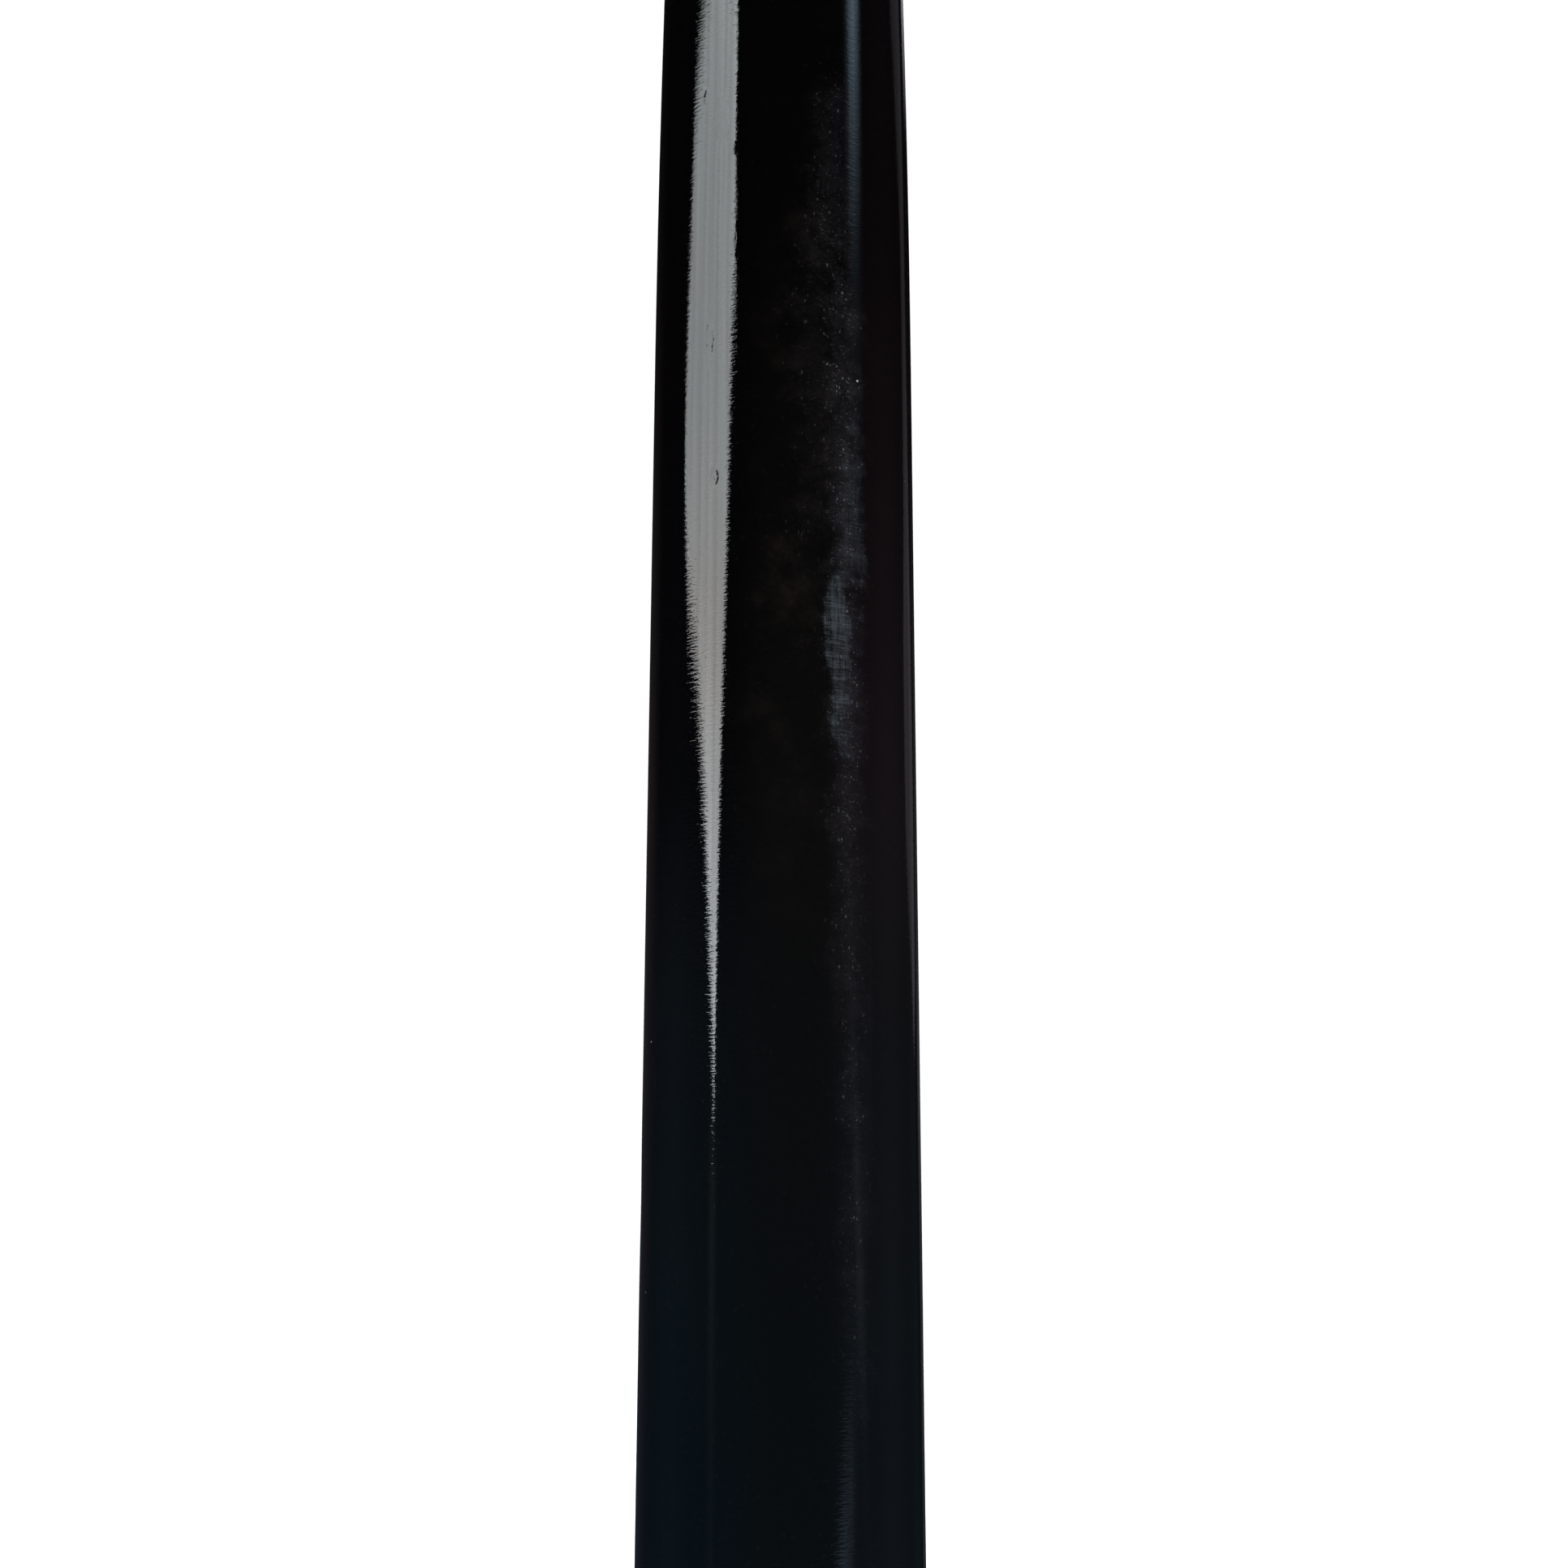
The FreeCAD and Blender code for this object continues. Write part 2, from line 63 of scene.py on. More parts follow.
TUBE_LOW, TUBE_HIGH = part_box("bat_tube")[0].z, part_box("bat_tube")[1].z
BAT_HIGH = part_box("knob")[1].z
BARREL_RADIUS = next(
    mount["dims"]["r_mm"] for mount in record["mounts"] if mount["name"] == "barrel"
) * MM
HANDLE_RADIUS = 11.2 * MM
BARREL_WALL, HANDLE_WALL = 2.35 * MM, 2.1 * MM
# The straight barrel bends in on a long arc, the ease, then on the shoulder's tighter one. A
# cone follows, and the neck's hollow arc leads into the handle. Starts and ends are heights.
EASE_START, EASE_END, EASE_RADIUS = 0.300, 0.395, 6.4
SHOULDER_RADIUS = 1.5
NECK_RADIUS, NECK_END = 0.9, 0.664
WRAP_LOW, WRAP_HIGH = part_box("grip_wrap")[0].z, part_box("grip_wrap")[1].z
BAND_LOW, BAND_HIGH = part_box("grip_finish_tape")[0].z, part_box("grip_finish_tape")[1].z
BACKING = 0.25 * MM
WRAP_THICK = 1.6 * MM


def make_profile():
    """Return radius(height) for the bat's outside: barrel, ease, shoulder, cone, neck, handle.

    Each arc touches its neighbours. The cone is the line that touches shoulder and neck.
    """
    ease_turn = math.asin((EASE_END - EASE_START) / EASE_RADIUS)
    ease_centre = Vector((BARREL_RADIUS - EASE_RADIUS, EASE_START))
    along = Vector((math.cos(ease_turn), math.sin(ease_turn)))
    shoulder_centre = ease_centre + (EASE_RADIUS - SHOULDER_RADIUS) * along
    neck_centre = Vector((HANDLE_RADIUS + NECK_RADIUS, NECK_END))
    apart = neck_centre - shoulder_centre
    reach = (SHOULDER_RADIUS + NECK_RADIUS) / apart.length
    cone_turn = math.atan2(apart.y, apart.x) - math.acos(reach)
    normal = Vector((math.cos(cone_turn), math.sin(cone_turn)))
    cone_start = shoulder_centre + SHOULDER_RADIUS * normal
    cone_end = neck_centre - NECK_RADIUS * normal

    def radius(height):
        if height <= EASE_START:
            return BARREL_RADIUS
        if height <= EASE_END:
            rise = height - ease_centre.y
            return ease_centre.x + math.sqrt(EASE_RADIUS ** 2 - rise ** 2)
        if height <= cone_start.y:
            rise = height - shoulder_centre.y
            return shoulder_centre.x + math.sqrt(SHOULDER_RADIUS ** 2 - rise ** 2)
        if height <= cone_end.y:
            share = (height - cone_start.y) / (cone_end.y - cone_start.y)
            return cone_start.x + share * (cone_end.x - cone_start.x)
        if height <= NECK_END:
            drop = NECK_END - height
            return neck_centre.x - math.sqrt(NECK_RADIUS ** 2 - drop ** 2)
        return HANDLE_RADIUS

    return radius


tube_radius = make_profile()


# ---------------------------------------------------------------- node helpers

def feed(tree, socket, value):
    """Link another node's output to a socket, or set the socket to a plain value."""
    if isinstance(value, bpy.types.NodeSocket):
        tree.links.new(value, socket)
    else:
        socket.default_value = value


def add_node(tree, kind, inputs=None, **settings):
    """Add a shader node. Settings are its attributes, and inputs feed its sockets."""
    node = tree.nodes.new(kind)
    for name, value in settings.items():
        setattr(node, name, value)
    for name, value in (inputs or {}).items():
        feed(tree, node.inputs[name], value)
    return node


def math_node(tree, operation, first, second=0.0, clamp=False):
    node = add_node(tree, "ShaderNodeMath", {0: first, 1: second}, operation=operation)
    node.use_clamp = clamp
    return node.outputs[0]


def times(tree, first, second, clamp=False):
    return math_node(tree, "MULTIPLY", first, second, clamp)


def plus(tree, first, second):
    return math_node(tree, "ADD", first, second)


def minus(tree, first, second):
    return math_node(tree, "SUBTRACT", first, second)


def total(tree, values):
    result = values[0]
    for value in values[1:]:
        result = plus(tree, result, value)
    return result


def map_range(tree, value, low, high, to_low=0.0, to_high=1.0, smooth=True):
    node = add_node(tree, "ShaderNodeMapRange", {
        "Value": value, "From Min": low, "From Max": high,
        "To Min": to_low, "To Max": to_high,
    })
    node.interpolation_type = "SMOOTHSTEP" if smooth else "LINEAR"
    return node.outputs["Result"]


def mix_colour(tree, factor, first, second):
    node = add_node(tree, "ShaderNodeMix", data_type="RGBA")
    colours = [socket for socket in node.inputs if socket.type == "RGBA"]
    for socket, value in zip([node.inputs["Factor"]] + colours, (factor, first, second)):
        feed(tree, socket, value)
    return next(socket for socket in node.outputs if socket.type == "RGBA")


def colour_ramp(tree, share, stops):
    """A ramp through (position, colour) stops, from the lowest position to the highest."""
    ramp = add_node(tree, "ShaderNodeValToRGB", {"Fac": share})
    elements = ramp.color_ramp.elements
    elements[0].position, elements[-1].position = stops[0][0], stops[-1][0]
    for position, _ in stops[1:-1]:
        elements.new(position)
    for element, (_, colour) in zip(elements, stops):
        element.color = colour
    return ramp.outputs["Color"]


def object_place(tree):
    """The object coordinate, which is the bat's own frame in metres."""
    return add_node(tree, "ShaderNodeTexCoord").outputs["Object"]


def split_axes(tree, vector):
    return add_node(tree, "ShaderNodeSeparateXYZ", {0: vector}).outputs


def scaled(tree, vector, scale):
    return add_node(tree, "ShaderNodeMapping", {"Vector": vector, "Scale": scale}).outputs[0]


def noise_node(tree, vector, scale, detail=2.0, roughness=0.5):
    node = add_node(tree, "ShaderNodeTexNoise", {
        "Vector": vector, "Scale": scale, "Detail": detail, "Roughness": roughness,
    })
    return node.outputs["Fac"]


def stretched_noise(tree, vector, scale, detail, roughness):
    """Noise with a scale of its own along each axis."""
    return noise_node(tree, scaled(tree, vector, scale), 1.0, detail, roughness)


def some_cells(tree, vector, scale, left_out, largest):
    """(distance from the nearest cell's point, that cell's spot size).

    A share of the cells, left_out, has no spot. The others have one of up to largest.
    """
    cells = add_node(tree, "ShaderNodeTexVoronoi", {"Vector": vector, "Scale": scale})
    pick = add_node(tree, "ShaderNodeSeparateColor", {0: cells.outputs["Color"]}).outputs["Red"]
    size = map_range(tree, pick, left_out, 1.0, 0.0, largest, smooth=False)
    return cells.outputs["Distance"], size


def bump(tree, height, distance, normal=None):
    inputs = {"Height": height, "Distance": distance, "Strength": 1.0}
    if normal is not None:
        inputs["Normal"] = normal
    return add_node(tree, "ShaderNodeBump", inputs).outputs["Normal"]


def grey(value):
    return (value, value, value, 1.0)


def new_material(name):
    material = bpy.data.materials.new(name)
    material.use_nodes = True
    tree = material.node_tree
    tree.nodes.clear()
    shader = add_node(tree, "ShaderNodeBsdfPrincipled")
    output = add_node(tree, "ShaderNodeOutputMaterial")
    tree.links.new(shader.outputs[0], output.inputs["Surface"])
    return material, tree, shader


def plug(tree, shader, **values):
    """Set or link the shader's sockets; underscores in a name stand for spaces."""
    for name, value in values.items():
        feed(tree, shader.inputs[name.replace("_", " ")], value)


# ---------------------------------------------------------------- lacquer

def around(tree, place):
    """Angle round the bat in degrees, 0 at the front and growing to the right, and height."""
    axes = split_axes(tree, place)
    behind = times(tree, axes["Y"], -1.0)
    angle = math_node(tree, "ARCTAN2", axes["X"], behind)
    return times(tree, angle, math.degrees(1.0)), axes["Z"]


CORE = 0.35


def patch(tree, angle, height, centre, half, wobble, core):
    """1 inside the core of an oval on the bat, 0 outside the oval, with a ragged edge.

    A core smaller than CORE also lets the edge fade further out.
    """
    across = times(tree, minus(tree, angle, centre[0]), 1 / half[0])
    along = times(tree, minus(tree, height, centre[1]), 1 / half[1])
    square = plus(tree, math_node(tree, "POWER", across, 2.0),
                  math_node(tree, "POWER", along, 2.0))
    ragged = plus(tree, math_node(tree, "SQRT", square), wobble)
    return map_range(tree, ragged, 1.0 + (CORE - core) / 2, core)


def spots(tree, angle, height, wobble, places, core=CORE):
    """All the ovals in a list of (angle, height), (half angle, half height), strength."""
    return total(tree, [
        times(tree, strength, patch(tree, angle, height, centre, half, wobble, core))
        for centre, half, strength in places
    ])


# Rubbed places, where the gloss is scratched through in fine crossing lines.
SCUFFS = [
    ((23.5, 0.234), (6.6, 0.017), 1.2),
    ((25.5, 0.214), (5.5, 0.008), 0.45),
    ((31.0, 0.262), (7.0, 0.030), 0.35),
    ((-118.0, 0.190), (14.0, 0.030), 0.5),
    ((152.0, 0.240), (16.0, 0.035), 0.5),
    ((88.0, 0.160), (10.0, 0.024), 0.4),
    ((-160.0, 0.110), (12.0, 0.022), 0.35),
]
# Small creased marks in the lacquer.
CREASES = [
    ((-36.5, 0.358), (2.0, 0.0030), 0.45),
    ((-22.0, 0.344), (1.6, 0.0020), 0.45),
    ((-33.0, 0.300), (2.6, 0.0070), 0.9),
    ((-30.0, 0.269), (2.4, 0.0030), 0.8),
    ((-21.0, 0.322), (1.6, 0.0050), 0.6),
    ((-28.0, 0.352), (4.0, 0.0080), 0.35),
]
# Soft grey haze of wear.
HAZES = [
    ((27.0, 0.272), (9.0, 0.046), 0.85),
    ((27.0, 0.226), (9.5, 0.038), 0.55),
    ((21.5, 0.337), (12.0, 0.030), 0.42),
    ((24.0, 0.300), (9.0, 0.024), 0.22),
    ((27.5, 0.180), (8.5, 0.060), 0.42),
    ((14.0, 0.290), (14.0, 0.050), 0.18),
    ((30.0, 0.125), (8.0, 0.050), 0.26),
    ((-140.0, 0.260), (20.0, 0.060), 0.5),
    ((120.0, 0.200), (24.0, 0.080), 0.4),
]
# Painted reflection: brownish patches in the base colour that stand in for the room mirrored in
# the gloss.
PAINTED_WARM_REFLECTIONS = [
    ((8.0, 0.275), (22.0, 0.070), 1.0),
    ((-4.0, 0.215), (18.0, 0.050), 0.6),
    ((40.0, 0.290), (16.0, 0.060), 0.5),
    ((-135.0, 0.300), (40.0, 0.090), 0.8),
    ((120.0, 0.320), (40.0, 0.080), 0.8),
]
RING_DEPTH, PEEL_DEPTH, CREASE_DEPTH = 2.1e-5, 6e-6, 1.8e-4
LACQUER_BLACK = grey(0.0003)
# The brown below is the colour of a painted reflection, not a film on the lacquer.
PAINTED_REFLECTION_BROWN = (0.0032, 0.0023, 0.0019, 1)
HAZE_GREY = (0.0105, 0.0100, 0.0115, 1)
FLECK_GREY = (0.066, 0.068, 0.075, 1)
SCUFF_BLUE = (0.024, 0.032, 0.039, 1)
DUST_GREY = (0.26, 0.26, 0.25, 1)
GLOSS_ROUGHNESS, WORN_ROUGHNESS = 0.03, 0.35


def lacquer_relief(tree, place, angle, height):
    """The normal: short fine rings, orange peel and small creases."""
    rings = stretched_noise(tree, place, (430.0, 430.0, 1950.0), 2.0, 0.6)
    pores = noise_node(tree, place, 1700.0, 2.0, 0.6)
    crumpled = stretched_noise(tree, place, (1100.0, 1100.0, 700.0), 2.0, 0.6)
    creases = times(tree, spots(tree, angle, height, 0.0, CREASES), crumpled)
    normal = bump(tree, rings, RING_DEPTH)
    normal = bump(tree, pores, PEEL_DEPTH, normal)
    return bump(tree, creases, CREASE_DEPTH, normal)


def scuff_marks(tree, place, angle, height, wobble):
    """Scratches along and across the bat inside the rubbed places."""
    along_lines = stretched_noise(tree, place, (2400.0, 2400.0, 110.0), 3.0, 0.65)
    across_lines = stretched_noise(tree, place, (140.0, 140.0, 2900.0), 3.0, 0.65)
    lined = plus(tree, map_range(tree, along_lines, 0.36, 0.68, 0.0, 0.6),
                 map_range(tree, across_lines, 0.42, 0.66, 0.0, 0.6))
    return times(tree, spots(tree, angle, height, wobble, SCUFFS), lined, clamp=True)


def haze_and_flecks(tree, place, angle, height, wobble):
    """Mottled haze, and the chips and nicks that are dense in it and rare elsewhere."""
    haze = spots(tree, angle, height, wobble, HAZES, core=-0.35)
    mottle = stretched_noise(tree, place, (2600.0, 2600.0, 1500.0), 2.0, 0.7)
    hazed = times(tree, haze, map_range(tree, mottle, 0.30, 0.75, 0.45, 1.0), clamp=True)
    lengthened = scaled(tree, place, (1.0, 1.0, 0.6))
    apart, chip_size = some_cells(tree, lengthened, 1500.0, left_out=0.62, largest=0.26)
    uneven = times(tree, apart, map_range(tree, mottle, 0.35, 0.65, 0.5, 1.9))
    chips = math_node(tree, "LESS_THAN", uneven, chip_size)
    strokes = stretched_noise(tree, place, (1300.0, 1300.0, 2700.0), 3.0, 0.7)
    nicks = map_range(tree, strokes, 0.61, 0.69, 0.0, 0.7)
    density = plus(tree, times(tree, haze, 1.4), 0.03)
    flecked = times(tree, math_node(tree, "MAXIMUM", chips, nicks), density, clamp=True)
    return hazed, flecked


# Painted reflection: cloudy brownish patches in the base colour stand in for the room mirrored
# in the gloss.
def painted_warm_reflection(tree, place, angle, height, wobble):
    cloud = noise_node(tree, place, 120.0, 7.0, 0.74)
    reflection_spots = spots(tree, angle, height, wobble, PAINTED_WARM_REFLECTIONS, core=-0.2)
    return times(tree, reflection_spots, map_range(tree, cloud, 0.40, 0.72), clamp=True)


def dust_specks(tree, place):
    apart, speck_size = some_cells(tree, place, 190.0, left_out=0.86, largest=0.05)
    return math_node(tree, "LESS_THAN", apart, speck_size)


def make_lacquer(name="gloss_black_lacquer"):
    """Black lacquer over drawn tube: rings, orange peel, creases, haze, scuffs, a painted brown
    reflection, dust.
    """
    material, tree, shader = new_material(name)
    place = object_place(tree)
    angle, height = around(tree, place)
    wobble = times(tree, minus(tree, noise_node(tree, place, 130.0, 6.0, 0.72), 0.5), 3.0)
    rubbed = scuff_marks(tree, place, angle, height, wobble)
    hazed, flecked = haze_and_flecks(tree, place, angle, height, wobble)
    warm_reflection_share = painted_warm_reflection(tree, place, angle, height, wobble)
    speck = dust_specks(tree, place)

    # The brown mixed in first is a painted reflection of the room.
    colour = mix_colour(tree, warm_reflection_share, LACQUER_BLACK, PAINTED_REFLECTION_BROWN)
    colour = mix_colour(tree, hazed, colour, HAZE_GREY)
    colour = mix_colour(tree, flecked, colour, FLECK_GREY)
    colour = mix_colour(tree, rubbed, colour, SCUFF_BLUE)
    colour = mix_colour(tree, speck, colour, DUST_GREY)
    dulled = total(tree, [rubbed, speck, times(tree, hazed, 0.3)])
    rough = map_range(tree, dulled, 0.0, 1.0, GLOSS_ROUGHNESS, WORN_ROUGHNESS, smooth=False)
    normal = lacquer_relief(tree, place, angle, height)
    plug(tree, shader, Base_Color=colour, Roughness=rough, Normal=normal, IOR=1.5)
    return material


# ---------------------------------------------------------------- other materials

def make_moulded(name, colour, rough, grain=1600.0, depth=6e-6):
    """Moulded polymer with a fine spark-eroded grain."""
    material, tree, shader = new_material(name)
    place = object_place(tree)
    grain_noise = noise_node(tree, place, grain, 3.0, 0.6)
    cloud = noise_node(tree, place, 90.0, 4.0, 0.6)
    dark = tuple(channel * 0.75 for channel in colour) + (1.0,)
    light = tuple(channel * 1.35 for channel in colour) + (1.0,)
    plug(
        tree, shader,
        Base_Color=mix_colour(tree, cloud, dark, light),
        Roughness=map_range(tree, cloud, 0.3, 0.7, rough - 0.06, rough + 0.08),
        Normal=bump(tree, grain_noise, depth),
    )
    return material


def make_leather(name="synthetic_grip_leather"):
    """Embossed synthetic leather: pebbles, darker in some places and polished in others."""
    material, tree, shader = new_material(name)
    place = object_place(tree)
    pebbles = add_node(tree, "ShaderNodeTexVoronoi", {
        "Vector": place, "Scale": 1150.0, "Smoothness": 0.35}, feature="SMOOTH_F1")
    fine = noise_node(tree, place, 4200.0, 3.0, 0.6)
    cloud = noise_node(tree, place, 60.0, 5.0, 0.62)
    normal = bump(tree, pebbles.outputs["Distance"], -1.1e-4)
    normal = bump(tree, fine, 1.4e-5, normal)
    handled = map_range(tree, cloud, 0.35, 0.68)
    colour = mix_colour(tree, handled, (0.0075, 0.0075, 0.008, 1), (0.015, 0.0145, 0.014, 1))
    plug(tree, shader, Base_Color=colour, Normal=normal,
         Roughness=map_range(tree, handled, 0.0, 1.0, 0.58, 0.40, smooth=False))
    return material


def make_vinyl(name="stretched_vinyl_tape"):
    """Stretched vinyl: satin, and finely wrinkled along the bat."""
    material, tree, shader = new_material(name)
    place = object_place(tree)
    wrinkles = stretched_noise(tree, place, (900.0, 900.0, 260.0), 4.0, 0.6)
    cloud = noise_node(tree, place, 120.0, 4.0, 0.6)
    colour = mix_colour(tree, cloud, (0.005, 0.005, 0.0055, 1), (0.009, 0.009, 0.010, 1))
    plug(tree, shader, Base_Color=colour, Normal=bump(tree, wrinkles, 3e-5),
         Roughness=map_range(tree, cloud, 0.3, 0.7, 0.26, 0.42, smooth=False))
    return material


MATERIALS = {
    "lacquered_alloy": make_lacquer(),
    "cap_polymer": make_moulded("moulded_cap_polymer", (0.010, 0.010, 0.011), rough=0.5),
    "adhesive": make_moulded("cured_adhesive", (0.5, 0.42, 0.25), rough=0.35, grain=500.0),
    "foam": make_moulded(
        "closed_cell_foam", (0.09, 0.09, 0.095), rough=0.9, grain=900.0, depth=1e-4),
    "weld_metal": make_moulded(
        "weld_bead_metal", (0.03, 0.03, 0.032), rough=0.4, grain=800.0, depth=2e-5),
    "plug_rubber": make_moulded("plug_rubber", (0.02, 0.02, 0.02), rough=0.7),
    "badge_plastic": make_moulded(
        "badge_plastic", (0.016, 0.016, 0.018), rough=0.35, grain=2500.0, depth=2e-6),
    "backing_tape": make_moulded(
        "backing_tape", (0.55, 0.53, 0.47), rough=0.8, grain=1200.0, depth=2e-5),
    "grip_leather": make_leather(),
    "finish_tape": make_vinyl(),
}
SLOT_OF = {part["node"]: part["material_slot"] for part in record["subparts"]}


def dress(piece, slot):
    piece.data.materials.clear()
    piece.data.materials.append(MATERIALS[slot])


for node_name, cad_object in nodes.items():
    dress(cad_object, SLOT_OF[node_name])


# ---------------------------------------------------------------- turned pieces

def link(name, mesh):
    piece = bpy.data.objects.new(name, mesh)
    bpy.context.scene.collection.objects.link(piece)
    return piece


def stand_for(piece, node):
    """Dress a new piece and let it stand for the CAD node of the same shape."""
    slot = SLOT_OF[node]
    dress(piece, slot)
    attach(piece, "root")
    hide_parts(node)


def lathe(name, outline, turns=256, offset=None):
    """Turn a closed (radius, height) outline about the axis.

    offset(angle, height, radius) says how far outward a point moves from its place.
    """
    points, faces = [], []
    for radius, height in outline:
        for step in range(turns):
            angle = 2 * math.pi * step / turns
            out = radius + (offset(angle, height, radius) if offset else 0.0)
            points.append((out * math.sin(angle), -out * math.cos(angle), height))
    count = len(outline)
    for row in range(count):
        after = (row + 1) % count
        for step in range(turns):
            beside = (step + 1) % turns
            faces.append((
                row * turns + step, row * turns + beside,
                after * turns + beside, after * turns + step,
            ))
    mesh = bpy.data.meshes.new(name)
    mesh.from_pydata(points, [], faces)
    mesh.validate()
    mesh.shade_smooth()
    return link(name, mesh)


def spaced(low, high, step):
    count = max(1, round((high - low) / step))
    return [low + (high - low) * index / count for index in range(count + 1)]


def arc(centre, radius, first, last, steps=6):
    """Points on an arc between two angles, in degrees from straight outward."""
    turn = last - first
    angles = [math.radians(first + turn * step / steps) for step in range(steps + 1)]
    return [
        (centre[0] + radius * math.cos(angle), centre[1] + radius * math.sin(angle))
        for angle in angles
    ]


# Shallow dents: (angle round from the front, height), spread round and along, depth.
DENTS = [
    ((-17.0, 0.322), (4.5 * MM, 9.0 * MM), 0.05 * MM),
    ((-34.0, 0.262), (5.0 * MM, 22.0 * MM), 0.03 * MM),
    ((140.0, 0.210), (7.0 * MM, 6.0 * MM), 0.12 * MM),
    ((-95.0, 0.120), (6.0 * MM, 7.0 * MM), 0.10 * MM),
]
# The tube is drawn, so its outside is slightly wavy. Points deeper than the skin stay round.
DRAW_WAVE = 0.006 * MM
SKIN = 1.0 * MM


def dented(angle, height, radius):
    """Radial offset of the tube's outside: a few shallow dents and a slight draw waviness."""
    if radius < tube_radius(height) - SKIN:
        return 0.0
    turn = math.degrees(math.atan2(math.sin(angle), math.cos(angle)))
    offset = 0.0
    for (centre, level), (round_spread, long_spread), depth in DENTS:
        apart = math.radians((turn - centre + 180.0) % 360.0 - 180.0) * radius / round_spread
        along = (height - level) / long_spread
        offset -= depth * math.exp(-0.5 * (apart ** 2 + along ** 2))
    wave = Vector((2.0 * math.sin(angle), 2.0 * math.cos(angle), height * 22.0))
    return offset + DRAW_WAVE * noise.noise(wave)


TUBE_FACETS = 320
OUTSIDE_STEP, INSIDE_STEP = 2.0 * MM, 30.0 * MM


def make_tube():
    """The whole tube again with an even, fine mesh, so that it mirrors cleanly."""
    edge = 0.6 * MM
    outline = arc((BARREL_RADIUS - edge, TUBE_LOW + edge), edge, -90, 0)
    outline += [
        (tube_radius(z), z) for z in spaced(TUBE_LOW + edge, TUBE_HIGH, OUTSIDE_STEP)[1:]
    ]
    inside = [
        (tube_radius(z) - (BARREL_WALL if z < EASE_END else HANDLE_WALL), z)
        for z in spaced(TUBE_LOW, TUBE_HIGH, INSIDE_STEP)
    ]
    outline += reversed(inside)
    stand_for(lathe("lacquered_tube", outline, TUBE_FACETS, dented), "bat_tube")


KNOB_RIM, KNOB_NECK = 5.0 * MM, 12.4 * MM
BADGE_RECESS, BADGE_RECESS_DEPTH = 14.2 * MM, 0.9 * MM
PLUG_HEAD, PLUG_HEAD_DEPTH = 5.2 * MM, 1.6 * MM
VENT, CORE_BORE, CORE_TOP = 3.0 * MM, 6.2 * MM, 0.8505
SPIGOT_DEPTH = 14.0 * MM


def make_knob():
    """Flared knob with a round rim, a recess for the badge and a hollow spigot."""
    rim, neck, seat = KNOB_RIM, KNOB_NECK, TUBE_HIGH
    rim_centre = Vector((node_radius("knob") - rim, BAT_HIGH - rim))
    lean, rise = neck - rim_centre.x, rim_centre.y - seat
    flare = (lean ** 2 + rise ** 2 - rim ** 2) / (2 * (rim - lean))
    flare_centre = (neck + flare, seat)
    meeting = math.degrees(math.atan2(rise, rim_centre.x - flare_centre[0]))
    spigot = HANDLE_RADIUS - HANDLE_WALL
    recess_floor = BAT_HIGH - BADGE_RECESS_DEPTH
    plug_floor = recess_floor - PLUG_HEAD_DEPTH
    corner = 0.25 * MM
    outline = arc(flare_centre, flare, 180.0, meeting, 40)
    outline += arc(rim_centre, rim, meeting - 180.0, 90.0, 48)[1:]
    outline += arc((BADGE_RECESS + corner, BAT_HIGH - corner), corner, 90.0, 180.0)
    outline += [
        (BADGE_RECESS, recess_floor), (PLUG_HEAD, recess_floor), (PLUG_HEAD, plug_floor),
        (VENT, plug_floor), (VENT, CORE_TOP), (CORE_BORE, CORE_TOP),
        (CORE_BORE, seat - SPIGOT_DEPTH), (spigot, seat - SPIGOT_DEPTH), (spigot, seat),
    ]
    stand_for(lathe("turned_knob", outline), "knob")


# ---------------------------------------------------------------- grip

STRIP_PITCH = 24.0 * MM
STRIP_OVERLAP = 4.0 * MM
HOLE_ROWS = [8.6 * MM, 12.2 * MM, 15.8 * MM, 19.4 * MM]
HOLE_STEP = 5.2 * MM
HOLE_RADIUS, HOLE_DEPTH = 0.62 * MM, 0.34 * MM
STRIP_WANDER, LEATHER_UNEVENNESS = 0.4 * MM, 0.05 * MM
WRAP_FACETS, WRAP_STEP = 230, 0.36 * MM
# Relief of the strip, in millimetres: how far its middle lies below the CAD sleeve, the ridge
# over an overlap, the crown between its edges, and the dips beside and at its edges.
SUNK, RIDGE, CROWN, EDGE_DIP, TUCK = 0.30, 0.46, 0.14, 0.22, 0.20


def smooth(value, low, high):
    share = min(1.0, max(0.0, (value - low) / (high - low)))
    return share * share * (3.0 - 2.0 * share)


def strip_place(angle, height, girth):
    """(along, across) on the wound strip; across runs from its knob side to the barrel side."""
    drift = Vector((3.0 * math.sin(angle), 3.0 * math.cos(angle), height * 60.0))
    wander = STRIP_WANDER * noise.noise(drift)
    turns = (WRAP_HIGH - height + wander) / STRIP_PITCH - angle / (2 * math.pi)
    turn = math.floor(turns)
    return (turn + angle / (2 * math.pi)) * girth, (turns - turn) * STRIP_PITCH


def hole_depth(along, across):
    """Depth of the air hole at a place on the strip; every second row is shifted."""
    for row, place in enumerate(HOLE_ROWS):
        if abs(across - place) < HOLE_RADIUS:
            shifted = along + (HOLE_STEP / 2 if row % 2 else 0.0)
            nearest = shifted - HOLE_STEP * round(shifted / HOLE_STEP)
            reach = math.hypot(nearest, across - place) / HOLE_RADIUS
            if reach < 1.0:
                return HOLE_DEPTH * (1.0 - reach ** 2) ** 1.5
    return 0.0


